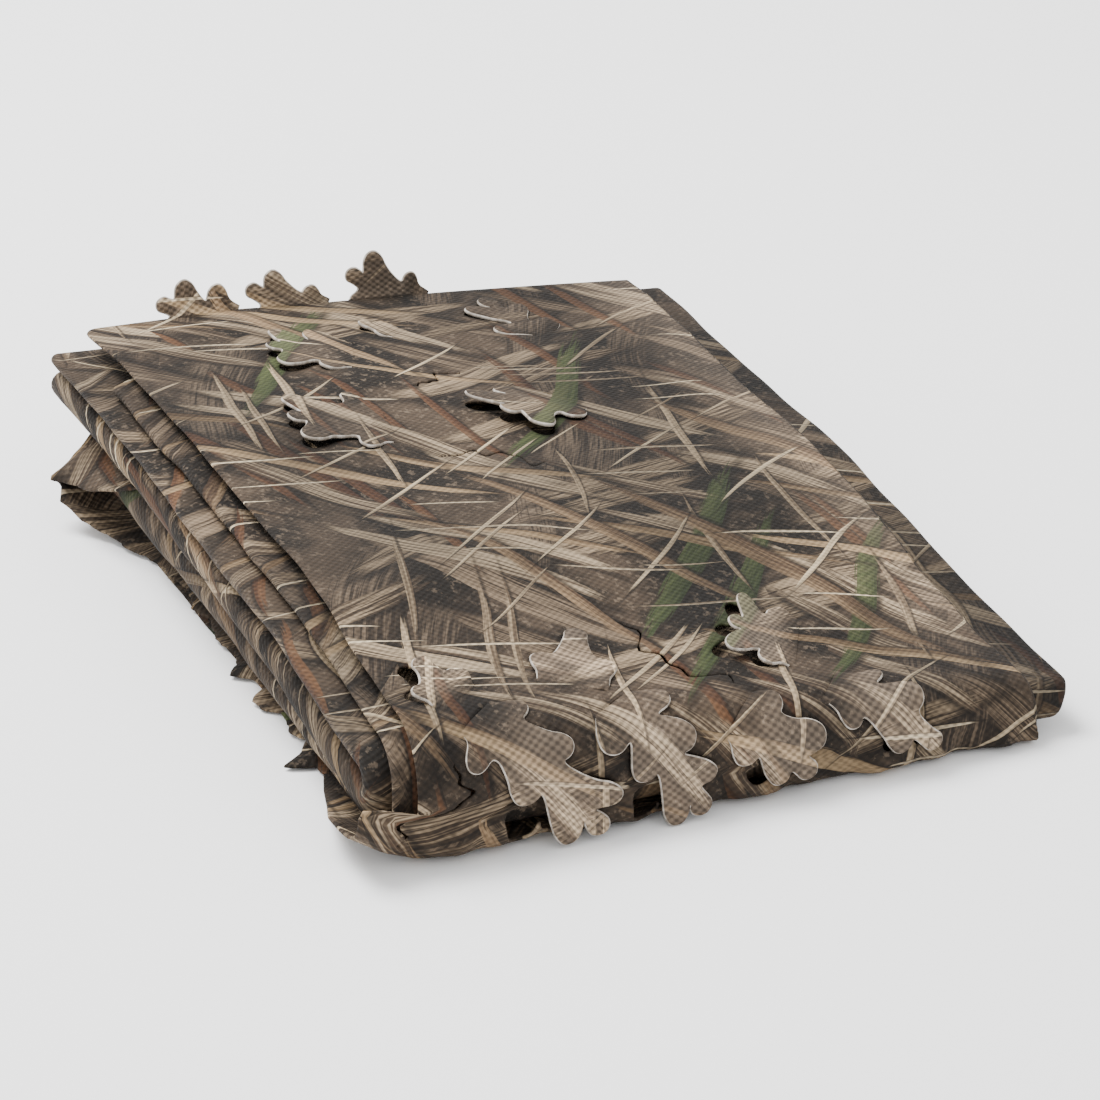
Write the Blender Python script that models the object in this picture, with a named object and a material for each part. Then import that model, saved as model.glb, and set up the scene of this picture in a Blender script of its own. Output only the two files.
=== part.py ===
"""Folded camouflage net: one die-cut cloth.

The cloth is folded back and forth over its left and right edges in five runs,
and the flat pack is then folded in half over its front edge, so that ten layers
lie on each other. Lobed leaves are cut in the outer layer and curl out of it,
three stand up at the back, and ragged ones hang out of the left side.

Metres, +Z up. The net lies on z = 0 with its front edge towards -Y. The origin
is the middle of its underside. Tables and sizes are in millimetres.
"""
import math

import bpy
import numpy as np

MM = 0.001

# Driving dimensions, in millimetres
SHEET = 1.8          # thickness of the cloth
FRONT = -185.5       # outside of the fold over the front edge
BACK = 183.0         # cut back ends of the layers
TOP_LEFT = -126.5    # left and right end of the top layer, where its height is given
TOP_RIGHT = 121.0
CROWN = 2.5          # how far the middle of the top stands over a straight line

# Outside height of the bundle along its left and right side
HEIGHTS = (
    # y, left, right
    (183.0, 68.0, 50.0),
    (110.0, 72.0, 48.5),
    (0.0, 71.0, 46.0),
    (-60.0, 69.5, 40.0),
    (-95.0, 65.0, 34.5),
    (-125.0, 59.0, 29.5),
    (-150.0, 54.5, 26.5),
    (-186.0, 53.7, 25.6),
)

# The ten layers from the top down. Each level is a share of the bundle's height, at
# the front turn, half way and at the back. The front levels of the lower five layers
# mirror those of the upper five, which they join round the front edge.
LAYERS = (
    # name, left: front, middle, back, right: front, rest, reach: left, right
    ("top", 1.000, 1.000, 1.000, 1.000, 1.000, -126.5, 121.0),
    ("second", 0.905, 0.930, 0.950, 0.895, 0.930, -133.0, 121.0),
    ("third", 0.830, 0.830, 0.910, 0.790, 0.860, -133.0, 130.5),
    ("fourth", 0.765, 0.790, 0.875, 0.685, 0.760, -140.0, 130.5),
    ("fifth", 0.545, 0.655, 0.800, 0.580, 0.680, -140.0, 119.0),
    ("sixth", 0.455, 0.610, 0.750, 0.420, 0.610, -140.0, 119.0),
    ("seventh", 0.235, 0.460, 0.580, 0.315, 0.480, -140.0, 128.0),
    ("eighth", 0.170, 0.410, 0.520, 0.210, 0.410, -135.0, 128.0),
    ("ninth", 0.095, 0.150, 0.230, 0.105, 0.130, -135.0, 124.0),
    ("bottom", 0.000, 0.000, 0.000, 0.000, 0.000, -129.0, 124.0),
)
RUNS = 5             # layers in each half of the bundle
MIDDLE_Y = 0.0       # where the table's middle levels hold

RUN_STEPS = 6        # steps across one layer
LOOP_STEPS = 4       # steps round one side fold
TOP_STEPS = 11       # steps from the back to the front turn, upper half
UNDER_STEPS = 8      # the same, lower half
TURN_ANGLES = (90, 65, 40, 18, 0, -2, -9, -22, -45, -70, -90)
ROUND_ABOVE = 0.9    # exponents of the turn: 1 is a circle, 0.5 nearly square
SQUARE_BELOW = 0.5

# Left edge of the outer layer: it juts out in a lifted lip below the front turn
LIP_REACH = 23.0     # how far the lip stands out of the top layer's left edge
LIP_LIFT = 12.0      # how far its tip curls up
LIP_FADE = 70.0      # distance behind the turn in which it fades out underneath

# The first side fold starts short of the back
RECESS = 56.0
RECESS_WIDTH = 34.0

# Leaves of the outer layer. "x" and "along" place the stem on the unrolled outer
# layer, with "along" 0 where the front turn starts and positive towards the back.
# Heading 0 points forward over the front edge and 90 to the right. A leaf with a gap
# has left a hole of its own shape in the layer, wider by that gap.
LEAVES = (
    # name, x, along, heading, length, width, lobes, rise: middle, tip, gap
    ("front_left", -98.0, 16.0, 20.0, 84.0, 50.0, 3, 5.0, 7.0, 0.0),
    ("front_left_back", -98.0, 12.0, 172.0, 38.0, 44.0, 2, 3.0, 6.0, 5.0),
    ("front_middle", -46.0, 12.0, 19.0, 74.0, 54.0, 3, 5.0, 7.0, 0.0),
    ("front_middle_back", -48.0, 8.0, 196.0, 44.0, 46.0, 2, 3.0, 8.0, 4.0),
    ("front_centre", 6.0, 2.0, 16.0, 50.0, 48.0, 2, 5.0, 7.0, 0.0),
    ("front_right", 42.0, 26.0, 26.0, 66.0, 50.0, 3, 5.0, 7.0, 0.0),
    ("front_right_back", 42.0, 22.0, 204.0, 46.0, 46.0, 2, 3.0, 7.0, 0.0),
    ("rear_left", -38.0, 236.0, -48.0, 56.0, 46.0, 2, 4.0, 6.0, 4.0),
    ("rear_middle", -8.0, 284.0, -84.0, 44.0, 46.0, 2, 3.0, 5.0, 0.0),
    ("centre", 36.0, 250.0, 6.0, 46.0, 54.0, 2, 4.0, 6.0, 4.0),
)
HOLE_START = 0.16    # share of a leaf's length that stays joined at its stem

# Ends of leaves that stand up at the back edge, facing the front
STANDING = (
    # name, x, height, leaf length, width, lean to the left in degrees
    ("left", -73.0, 26.0, 66.0, 40.0, 24.0),
    ("middle", -30.0, 28.0, 66.0, 38.0, 30.0),
    ("right", 14.0, 30.0, 66.0, 36.0, 22.0),
)
STANDING_Y = 178.0

# Ragged leaves that hang out of the left side. Heading 0 points left, 90 to the back.
RAGGED = (
    # name, y, layer, heading, length, width, droop at the tip in degrees
    ("back", 150.0, 7, 20.0, 42.0, 56.0, 50.0),
    ("back_small", 118.0, 5, 30.0, 18.0, 28.0, 20.0),
    ("middle", 76.0, 9, 16.0, 20.0, 40.0, 0.0),
    ("low", 2.0, 9, -12.0, 26.0, 44.0, 0.0),
    ("low_front", -40.0, 9, -20.0, 22.0, 34.0, 0.0),
    ("front", -82.0, 9, -8.0, 28.0, 36.0, 0.0),
)
STEM_HOLD = 1.6      # how far a ragged leaf's stem reaches into the cloth

LOBE_STEPS = 6       # steps along one lobe of a leaf
LOBE_DEPTH = 0.62    # how deep the notches between the lobes are
LEAST_WIDTH = 0.14   # least half width at the stem, as a share of the leaf's width
LOBE_SWEEP = 0.45    # how far the lobes point forward
STEM_SINK = 0.2      # how deep a stem's middle lies in the cloth's outside
SLOPE_STEP = 3.0     # distance either way over which the outer face's slope is taken


def height(x, y):
    """Outside height at x, y: straight between the side profiles, plus the crown."""
    rows = np.array(HEIGHTS)[::-1]
    left = np.interp(y, rows[:, 0], rows[:, 1])
    right = np.interp(y, rows[:, 0], rows[:, 2])
    share = (x - TOP_LEFT) / (TOP_RIGHT - TOP_LEFT)
    crown = CROWN * np.clip(1.0 - (2.0 * share - 1.0) ** 2, 0.0, 1.0)
    back_share = np.clip((y - FRONT) / 60.0, 0.0, 1.0)
    return left + (right - left) * share + crown * back_share


def turn_centre(x):
    """Height and place of the axis that the front turn goes round."""
    half = height(x, FRONT) / 2.0
    return FRONT + half, half


def across(values, x):
    """Blend a (left, right) pair of values over the width of the top layer."""
    share = np.clip((x - TOP_LEFT) / (TOP_RIGHT - TOP_LEFT), 0.0, 1.0)
    return values[0] + (values[1] - values[0]) * share


def level(layer, x, y):
    """Height of a layer's middle surface in the flat stretch behind the turn."""
    _, front, middle, back, right_front, right_rest, _, _ = LAYERS[layer]
    turn_y, _ = turn_centre(x)
    if y > MIDDLE_Y:
        share = (y - MIDDLE_Y) / (BACK - MIDDLE_Y)
        left = middle + (back - middle) * share
        right = right_rest
    else:
        share = min((MIDDLE_Y - y) / (MIDDLE_Y - turn_y), 1.0)
        left = middle + (front - middle) * share
        right = right_rest + (right_front - right_rest) * share
    return SHEET / 2.0 + across((left, right), x) * (height(x, y) - SHEET)


def turn_point(x, radius, angle):
    """Point at an angle of the front turn: rounded above, squarer below."""
    turn_y, turn_z = turn_centre(x)
    outer = radius / turn_z
    lower = 1.0 - (1.0 - SQUARE_BELOW) * outer
    power = ROUND_ABOVE if angle >= 0.0 else lower
    forward = radius * abs(math.cos(math.radians(angle))) ** power
    upward = radius * abs(math.sin(math.radians(angle))) ** power
    return turn_y - forward, turn_z + math.copysign(upward, angle)


def lip(angle_or_distance, in_turn):
    """Share of the lip's reach at an angle of the turn or a distance behind it."""
    if in_turn:
        return float(np.interp(-angle_or_distance, (1.9, 2.1, 9.0, 90.0), (0.0, 0.85, 1.0, 1.0)))
    return float(np.clip(1.0 - angle_or_distance / LIP_FADE, 0.0, 1.0))


def joined_run(run, side):
    """The run of the same half that this one joins at its left (-1) or right (1) end."""
    other = run + (side if run % 2 == 0 else -side)
    return other if 0 <= other < RUNS else None


def section(layers, half_gap):
    """Points of one half's back-and-forth section: (x, upper layer, lower layer, share).

    layers gives the half's five layers from the outside in. share blends from one
    layer to the next round a side fold, which is a half circle. half_gap(layer,
    other, x) is half the distance between two layers.
    """
    points = []
    for run, layer in enumerate(layers):
        ends = []
        for side, reach in ((-1, LAYERS[layer][6]), (1, LAYERS[layer][7])):
            other = joined_run(run, side)
            fold = 0.0 if other is None else half_gap(layer, layers[other], reach)
            ends.append(reach - side * fold)
        places = np.linspace(ends[0], ends[1], RUN_STEPS + 1)
        side = 1 if run % 2 == 0 else -1
        points += [(float(x), layer, layer, 0.0) for x in places[::side]]
        if run == RUNS - 1:
            break
        following = layers[run + 1]
        end = ends[(side + 1) // 2]
        bulge = half_gap(layer, following, end)
        for step in range(1, LOOP_STEPS):
            turn = math.pi * step / LOOP_STEPS
            share = (1.0 - math.cos(turn)) / 2.0
            points.append((end + side * bulge * math.sin(turn), layer, following, share))
    return points


def flat_row(layers, share, upper):
    """One row of the flat stretch: share 0 at the front turn, 1 at the back ends."""
    rear = BACK * share + turn_centre(0.0)[0] * (1.0 - share)

    def half_gap(one, other, x):
        return abs(level(one, x, rear) - level(other, x, rear)) / 2.0

    row = []
    for x, one, other, blend in section(layers, half_gap):
        turn_y, _ = turn_centre(x)
        back = BACK
        if upper and {one, other} <= {1, 2}:
            back -= RECESS * float(np.clip((TOP_LEFT + RECESS_WIDTH - x) / RECESS_WIDTH, 0.0, 1.0))
        y = turn_y + (back - turn_y) * share
        z = level(one, x, y) * (1.0 - blend) + level(other, x, y) * blend
        row.append([x, y, z])
    if not upper:
        shape_lip(row, lip(share * (BACK - FRONT), False))
    return row


def turn_row(angle):
    """One row round the front turn, on from the upper layers to the lower ones."""
    lower_share = 0.5 - angle / 180.0

    def radius(layer, x):
        turn_y, turn_z = turn_centre(x)
        above = level(layer, x, turn_y) - turn_z
        below = turn_z - level(2 * RUNS - 1 - layer, x, turn_y)
        return above + (below - above) * lower_share

    def half_gap(one, other, x):
        return abs(radius(one, x) - radius(other, x)) / 2.0

    row = []
    for x, one, other, blend in section(range(RUNS), half_gap):
        distance = radius(one, x) * (1.0 - blend) + radius(other, x) * blend
        y, z = turn_point(x, distance, angle)
        row.append([x, y, z])
    if angle < 0:
        shape_lip(row, lip(angle, True))
    return row


def shape_lip(row, share):
    """Draw the outer layer's left end out to the left and curl its tip up."""
    for i in range(RUN_STEPS):
        pull = (1.0 - i / RUN_STEPS) ** 1.5
        row[i][0] -= LIP_REACH * share * pull
        beyond = max(TOP_LEFT - row[i][0], 0.0) / LIP_REACH
        row[i][2] += LIP_LIFT * share * beyond ** 1.3


def cloth_rows():
    """All rows of the cloth, from the upper back ends round the front to the lower ones."""
    upper = list(range(RUNS))
    lower = list(range(2 * RUNS - 1, RUNS - 1, -1))
    rows = [flat_row(upper, 1.0 - i / TOP_STEPS, True) for i in range(TOP_STEPS)]
    rows += [turn_row(angle) for angle in TURN_ANGLES]
    rows += [flat_row(lower, (i + 1) / UNDER_STEPS, False) for i in range(UNDER_STEPS)]
    return rows


def grid_mesh(name, rows):
    """Mesh of quads over rows of points in millimetres."""
    count, width = len(rows), len(rows[0])
    points = (np.array(rows, float) * MM).reshape(-1, 3)
    faces = [
        (i * width + j, i * width + j + 1, (i + 1) * width + j + 1, (i + 1) * width + j)
        for i in range(count - 1)
        for j in range(width - 1)
    ]
    mesh = bpy.data.meshes.new(name)
    mesh.from_pydata(points.tolist(), [], faces)
    mesh.update()
    return mesh


def outer_profile(x):
    """Outside of the outer layer at x, back to front, then straight down to the floor.

    Returns (y, z) points and where among them the front turn starts.
    """
    turn_y, turn_z = turn_centre(x)
    ahead = [(y, float(height(x, y))) for y in np.linspace(BACK, turn_y, 40)]
    turn = [turn_point(x, turn_z, angle) for angle in np.linspace(88.0, 0.0, 24)]
    drop = [(FRONT, z) for z in np.linspace(turn_z, SHEET, 8)[1:]]
    return np.array(ahead + turn + drop), len(ahead) - 1


def outer_face(x, along):
    """Point and outward direction on the unrolled outer layer's outside."""
    profile, start = outer_profile(x)
    travelled = np.concatenate(([0.0], np.cumsum(np.hypot(*np.diff(profile, axis=0).T))))
    last = travelled[-1] - SLOPE_STEP
    distance = float(np.clip(travelled[start] - along, SLOPE_STEP, last))

    def at(place):
        return np.array([np.interp(place, travelled, profile[:, k]) for k in (0, 1)])

    y, z = at(distance)
    forward = at(distance + SLOPE_STEP) - at(distance - SLOPE_STEP)
    forward /= np.linalg.norm(forward)
    tilt = float(height(x + 1.0, y) - height(x - 1.0, y)) / 2.0
    outward = np.array([tilt * min(forward[0], 0.0), forward[1], -forward[0]])
    return np.array([x, y, z]), outward / np.linalg.norm(outward)


def leaf_outline(length, width, lobes):
    """Rows (distance from the stem, half width) of a lobed leaf's outline.

    The half width is an arch that is widest past the middle of the leaf, and a power
    of a cosine cuts one rounded notch into it before each lobe.
    """
    share = np.linspace(0.0, 1.0, LOBE_STEPS * lobes + 1)
    arch = np.sin(math.pi * (0.05 + 0.93 * share) ** 1.15) ** 0.6
    notch = 1.0 - LOBE_DEPTH * (0.5 + 0.5 * np.cos(2.0 * math.pi * lobes * share)) ** 0.9
    half = np.maximum(width / 2.0 * arch * notch, width * LEAST_WIDTH * (1.0 - share))
    return np.stack([share * length, half], axis=1)


def leaf_rows(outline, place):
    """Three columns of points along a leaf. place(along, aside, share) sets each point."""
    length = outline[-1, 0]
    rows = []
    for distance, half in outline:
        share = distance / length
        swept = min(distance + LOBE_SWEEP * half * share, length)
        rows.append([place(swept, -half, share), place(distance, 0.0, share), place(swept, half, share)])
    return rows


def lying_leaf(x, along, heading, rise_middle, rise_tip):
    """Placing function of a leaf that lies over the outer layer and curls out of it."""
    turn = math.radians(heading)

    def place(distance, aside, share):
        spot_x = x + distance * math.sin(turn) + aside * math.cos(turn)
        spot_along = along - distance * math.cos(turn) + aside * math.sin(turn)
        point, outward = outer_face(spot_x, spot_along)
        lift = float(np.interp(share, (0.0, 0.12, 0.5, 1.0), (-STEM_SINK, 0.4, rise_middle, rise_tip)))
        return point + outward * lift

    return place


def standing_leaf(x, leaf_height, lean):
    """Placing function of a leaf that stands up from the top at the back edge."""
    side = math.radians(lean)
    foot = float(height(x, STANDING_Y)) - 1.2

    def place(distance, aside, share):
        bend = math.sin(math.pi / 2.0 * min(share * 2.0, 1.0))
        return np.array([
            x + aside * math.cos(side) - distance * math.sin(side),
            STANDING_Y - 6.0 + 8.0 * share,
            foot + distance * math.cos(side) * (0.35 + 0.65 * bend) + aside * math.sin(side) * share,
        ])

    return place


def ragged_leaf(y, layer, heading, droop):
    """Placing function of a leaf that leaves a side fold and droops outwards."""
    turn = math.radians(heading)
    start_x = LAYERS[layer][6] + STEM_HOLD
    start_z = level(layer, TOP_LEFT, y)
    if layer < len(LAYERS) - 1:
        start_z = (start_z + level(layer + 1, TOP_LEFT, y)) / 2.0

    def place(distance, aside, share):
        fall = math.radians(droop) * share
        out = distance * math.cos(fall / 2.0)
        down = distance * math.sin(fall / 2.0)
        return np.array([
            start_x - out * math.cos(turn) - aside * math.sin(turn),
            y + out * math.sin(turn) - aside * math.cos(turn),
            max(start_z - down, SHEET / 2.0 + 0.6),
        ])

    return place


def leaf_sheets():
    """Rows of every leaf that is part of the cloth."""
    sheets = []
    for _, x, along, heading, length, width, lobes, middle, tip, _ in LEAVES:
        place = lying_leaf(x, along, heading, middle, tip)
        sheets.append(leaf_rows(leaf_outline(length, width, lobes), place))
    for _, x, leaf_height, length, width, lean in STANDING:
        outline = leaf_outline(length, width, 3)
        outline = outline[outline[:, 0] >= length - leaf_height]
        outline[:, 0] -= outline[0, 0]
        sheets.append(leaf_rows(outline, standing_leaf(x, leaf_height, lean)))
    for _, y, layer, heading, length, width, droop in RAGGED:
        place = ragged_leaf(y, layer, heading, droop)
        sheets.append(leaf_rows(leaf_outline(length, width, 2), place))
    return sheets


def hole_sheets():
    """Rows of a leaf-shaped plug through the outer layer for each leaf with a gap."""
    sheets = []
    for _, x, along, heading, length, width, lobes, _, _, gap in LEAVES:
        if gap == 0.0:
            continue
        place = lying_leaf(x, along, heading, -SHEET / 2.0, -SHEET / 2.0)
        outline = leaf_outline(length + gap, width + 2.0 * gap, lobes)
        outline = outline[outline[:, 0] >= HOLE_START * length]
        sheets.append(leaf_rows(outline, lambda distance, aside, _: place(distance, aside, 1.0)))
    return sheets


def new_object(name, mesh, thickness, hidden):
    """Object with the cloth's thickness laid evenly on both sides of its mesh."""
    item = bpy.data.objects.new(name, mesh)
    bpy.context.scene.collection.objects.link(item)
    solidify = item.modifiers.new("thickness", "SOLIDIFY")
    solidify.thickness = thickness * MM
    solidify.offset = 0.0
    if hidden:
        item.hide_render = True
        item.display_type = "WIRE"
    return item


def combine(item, other, operation):
    """Boolean of the cloth with one helper object."""
    boolean = item.modifiers.new(f"{operation.lower()}_{other.name}", "BOOLEAN")
    boolean.operation = operation
    boolean.object = other
    boolean.solver = "EXACT"


def cloth_material():
    """Matte taupe cloth."""
    material = bpy.data.materials.new("camouflage_cloth")
    material.use_nodes = True
    shader = material.node_tree.nodes["Principled BSDF"]
    shader.inputs["Base Color"].default_value = (0.205, 0.165, 0.125, 1.0)
    shader.inputs["Roughness"].default_value = 0.85
    shader.inputs["Metallic"].default_value = 0.0
    return material


def build():
    """Make the net as one solid."""
    for item in list(bpy.data.objects):
        bpy.data.objects.remove(item, do_unlink=True)
    net = new_object("net", grid_mesh("net", cloth_rows()), SHEET, False)
    net.data.materials.append(cloth_material())
    for number, rows in enumerate(hole_sheets()):
        plug = new_object(f"hole_{number}", grid_mesh(f"hole_{number}", rows), 2.0 * SHEET, True)
        combine(net, plug, "DIFFERENCE")
    for number, rows in enumerate(leaf_sheets()):
        leaf = new_object(f"leaf_{number}", grid_mesh(f"leaf_{number}", rows), SHEET, True)
        combine(net, leaf, "UNION")


build()
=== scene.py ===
"""Looks of a folded camouflage net: die-cut cloth whose leaves lift out of it.

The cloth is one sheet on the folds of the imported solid. Its outer layer is worked out
on the unrolled sheet: u runs across and v along, with v = 0 on the front edge and
positive on top. Leaves are cut there and bent out. Tables are in millimetres.
"""
import math
from collections import namedtuple

import bpy
import numpy as np
from mathutils import Matrix
from mathutils.geometry import delaunay_2d_cdt


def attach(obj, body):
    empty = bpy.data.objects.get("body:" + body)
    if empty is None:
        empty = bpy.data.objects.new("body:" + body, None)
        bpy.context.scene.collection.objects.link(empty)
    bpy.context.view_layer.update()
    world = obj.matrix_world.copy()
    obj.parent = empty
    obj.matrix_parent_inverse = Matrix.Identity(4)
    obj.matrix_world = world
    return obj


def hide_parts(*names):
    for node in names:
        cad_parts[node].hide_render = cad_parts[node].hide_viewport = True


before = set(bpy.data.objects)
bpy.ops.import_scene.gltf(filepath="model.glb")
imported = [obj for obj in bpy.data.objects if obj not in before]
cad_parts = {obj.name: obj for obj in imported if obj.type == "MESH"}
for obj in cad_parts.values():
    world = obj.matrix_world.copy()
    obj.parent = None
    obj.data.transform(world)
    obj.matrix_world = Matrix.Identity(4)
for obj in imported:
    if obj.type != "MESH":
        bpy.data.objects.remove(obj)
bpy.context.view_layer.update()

MM = 0.001

# ---- sizes of the bundle
CLOTH, LEAF_CLOTH = 1.2, 1.5     # thickness of the sheet, and of a leaf's loose end
FRONT = -185.5       # outside of the fold over the front edge
BACK = 183.0         # cut back ends of the layers
TOP_LEFT, TOP_WIDTH = -126.5, 247.5     # the top layer, where its height is given
CROWN, CROWN_OVER = 2.5, 60.0    # how far the top's middle rises, in what distance
SOFTEN, BELL = 14.0, 40          # bell curve that rounds the side profiles, its reach

HEIGHTS = (
    # y, left, right: outside height of the bundle along its sides
    (183, 68, 50), (110, 72, 48.5),
    (0, 71, 46), (-60, 69.5, 40),
    (-95, 65, 34.5), (-125, 59, 29.5),
    (-150, 54.5, 26.5), (-186, 53.7, 25.6),
)
LAYERS = (
    # left: front, middle, back, right: front, rest, reach: left, right
    (1, 1, 1, 1, 1, -126.5, 120),
    (0.88, 0.9, 0.935, 0.92, 0.956, -133, 120),
    (0.83, 0.83, 0.9, 0.825, 0.9, -133, 135.5),
    (0.765, 0.79, 0.86, 0.665, 0.79, -140, 135.5),
    (0.545, 0.655, 0.8, 0.58, 0.68, -140, 119),
    (0.455, 0.61, 0.75, 0.42, 0.61, -140, 119),
    (0.235, 0.46, 0.58, 0.315, 0.48, -140, 128),
    (0.17, 0.41, 0.52, 0.21, 0.41, -135, 128),
    (0.095, 0.15, 0.23, 0.105, 0.13, -135, 124),
    (0, 0, 0, 0, 0, -129, 124),
)
RUNS = 5             # runs of cloth, each with a layer above and one below the turn
ROUND_ABOVE = 0.9    # power of sine and cosine in the upper half of the front turn
SQUARE_BELOW = 0.5   # and on the outside of its lower half
LIP_REACH, LIP_LIFT = 23.0, 12.0    # how far the lower left corner is drawn out and up
LIP_FADE = 70.0      # distance behind the front in which that lip ends
LIP_AT = (1.9, 2.6, 9.0, 90.0), (0.0, 0.85, 1.0, 1.0)   # degrees below the edge, share
LIP_TAPER, LIP_CURL = 1.5, 1.3
RECESS = 56.0        # how far the first left fold stops short of the back
RECESS_WIDTH, RECESS_ROUND = 34.0, 0.7
FOLD_DEPTH = 1.15    # how far a side fold stands out, in radii of its half circle
SPREAD = 4.0         # how far the inner layers widen on the right towards the front
SPREAD_FROM, SPREAD_OVER, SPREAD_ROUND = -20.0, 130.0, 1.4
EDGE_WAVE, EDGE_LENGTH = 0.9, 26.0      # waves of the layers' side edges
TURN_WAVE = 0.4      # share of them that is left in the front turn
HEM, HEM_LENGTH = 3.4, 9.0              # waves of the lower edge of the front turn
HEM_LEAN, HEM_ROUND = 0.6, 0.7

CREASES = (
    # x, y to x, y, half width, rise: soft ridges and troughs of the top
    (-118, 150, -60, 172, 16, 1.6),
    (-126, 40, -40, 96, 18, 1.5),
    (-110, -20, 10, 30, 22, -1.6),
    (-118, -96, -30, -58, 16, 1.8),
    (-20, -120, 60, -70, 20, -1.8),
    (60, -60, 116, 20, 18, 1.4),
    (70, -150, 112, -96, 15, -2.2),
    (96, 60, 118, 160, 14, 1.4),
    (10, 100, 60, 150, 20, -1.2),
)

# ---- camera of the photo
CAMERA_AT = (-0.719, -1.662, 0.883)
CAMERA_TURN, CAMERA_TIP = math.radians(-23.5), math.radians(25.4)
LENS_PX, FRAME_PX, SENSOR_MM = 5059.0, 1100.0, 36.0


# ---- folds of the cloth
FLAT_ROWS, TURN_ROWS, UNDER_ROWS = 96, 22, 34    # above, in each half turn, below
SHARES = np.concatenate([
    np.linspace(1.0, 0.0, FLAT_ROWS + 1)[:-1],
    np.zeros(2 * TURN_ROWS + 1),
    np.linspace(0.0, 1.0, UNDER_ROWS + 1)[1:],
])
ANGLES = np.radians(np.concatenate([
    np.full(FLAT_ROWS, 90.0),
    np.linspace(90.0, 0.0, TURN_ROWS + 1),
    -90.0 * np.linspace(0.0, 1.0, TURN_ROWS + 1)[1:] ** 2,
    np.full(UNDER_ROWS, -90.0),
]))
ROWS = len(SHARES)
EDGE_ROW = FLAT_ROWS + TURN_ROWS
TOP = np.arange(ROWS) < FLAT_ROWS
UNDER = np.arange(ROWS) > FLAT_ROWS + 2 * TURN_ROWS
TURN = ~TOP & ~UNDER
LOWER = np.where(TURN, 0.5 - ANGLES / math.pi, np.where(UNDER, 1.0, 0.0))

SIDE_Y = np.arange(-260.0, 261.0, 1.0)


def grow(values, start, over):
    """From 0 at start to 1 a given distance further."""
    return np.clip((values - start) / over, 0.0, 1.0)


def soften(values):
    """A side profile at every SIDE_Y, averaged with a bell curve."""
    rows = np.array(HEIGHTS)[::-1]
    straight = np.interp(SIDE_Y, rows[:, 0], values[::-1])
    bell = np.exp(-(np.arange(-BELL, BELL + 1.0) / SOFTEN) ** 2)
    return np.convolve(np.pad(straight, BELL, mode="edge"), bell / bell.sum(), mode="valid")


LEFT_SIDE = soften(np.array(HEIGHTS)[:, 1])
RIGHT_SIDE = soften(np.array(HEIGHTS)[:, 2])


def creases(x, y):
    """Sum of soft ridges: each falls off as a bell curve from its own line."""
    total = np.zeros(np.broadcast(x, y).shape)
    for x0, y0, x1, y1, width, rise in CREASES:
        dx, dy = x1 - x0, y1 - y0
        near = np.clip(((x - x0) * dx + (y - y0) * dy) / (dx ** 2 + dy ** 2), 0.0, 1.0)
        gap = np.hypot(x - x0 - near * dx, y - y0 - near * dy)
        total = total + rise * np.exp(-((gap / width) ** 2))
    return total


def height(x, y):
    """Outside height: straight between the side profiles, plus the crown."""
    left = np.interp(y, SIDE_Y, LEFT_SIDE)
    right = np.interp(y, SIDE_Y, RIGHT_SIDE)
    share = (x - TOP_LEFT) / TOP_WIDTH
    crown = CROWN * np.clip(1.0 - (2.0 * share - 1.0) ** 2, 0.0, 1.0)
    return left + (right - left) * share + crown * grow(y, FRONT, CROWN_OVER)


def turn_centre(x):
    """Place and height of the axis that the front turn goes round."""
    half = height(x, FRONT) / 2.0
    return FRONT + half, half


def level(layer, x, y):
    """Height of a layer's middle surface: its share of the bundle's height."""
    front, middle, back, right_front, right_rest = LAYERS[layer][:5]
    behind, ahead = grow(y, 0.0, BACK), grow(y, 0.0, turn_centre(x)[0])
    left = middle + (back - middle) * behind + (front - middle) * ahead
    right = right_rest + (right_front - right_rest) * ahead
    part = left + (right - left) * grow(x, TOP_LEFT, TOP_WIDTH)
    return CLOTH / 2.0 + part * (height(x, y) + creases(x, y) - CLOTH)


def flat_y(x, back):
    """y of every row of a column at x, as if it lay flat behind the turn."""
    turn_y, _ = turn_centre(x)
    return turn_y + (back - turn_y) * SHARES


def depth(run, x, back):
    """Height of a run on the flat rows, and its distance from the axis in the turn."""
    turn_y, turn_z = turn_centre(x)
    y = flat_y(x, back)
    under = 2 * RUNS - 1 - run
    above = level(run, x, turn_y) - turn_z
    below = turn_z - level(under, x, turn_y)
    around = above + (below - above) * LOWER
    return np.select([TOP, TURN], [level(run, x, y), around], level(under, x, y))


def columns_of(*values):
    """Arrays as the columns of one table. A single number fills its column."""
    return np.stack(np.broadcast_arrays(*values), axis=1)


def place(x, deep, back):
    """Points of one column, from its depth: flat, round the turn, flat underneath.

    The turn is a circle whose sine and cosine are raised to a power, which makes it
    rounder above and squarer below.
    """
    turn_y, turn_z = turn_centre(x)
    outer = np.abs(deep) / turn_z
    power = np.where(ANGLES >= 0.0, ROUND_ABOVE, 1.0 - (1.0 - SQUARE_BELOW) * outer)
    forward = deep * np.abs(np.cos(ANGLES)) ** power
    upward = deep * np.abs(np.sin(ANGLES)) ** power * np.sign(ANGLES)
    y = np.where(TURN, turn_y - forward, flat_y(x, back))
    z = np.where(TURN, turn_z + upward, deep)
    return columns_of(x, y, z)


def waver(at, seed, length):
    """A gentle uneven wave: three sines of different lengths."""
    phase = seed * 2.399
    return (
        0.5 * np.sin(at / length + phase)
        + 0.3 * np.sin(at / length * 2.3 + phase * 1.7)
        + 0.2 * np.sin(at / length * 4.1 + phase * 2.9)
    )


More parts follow.
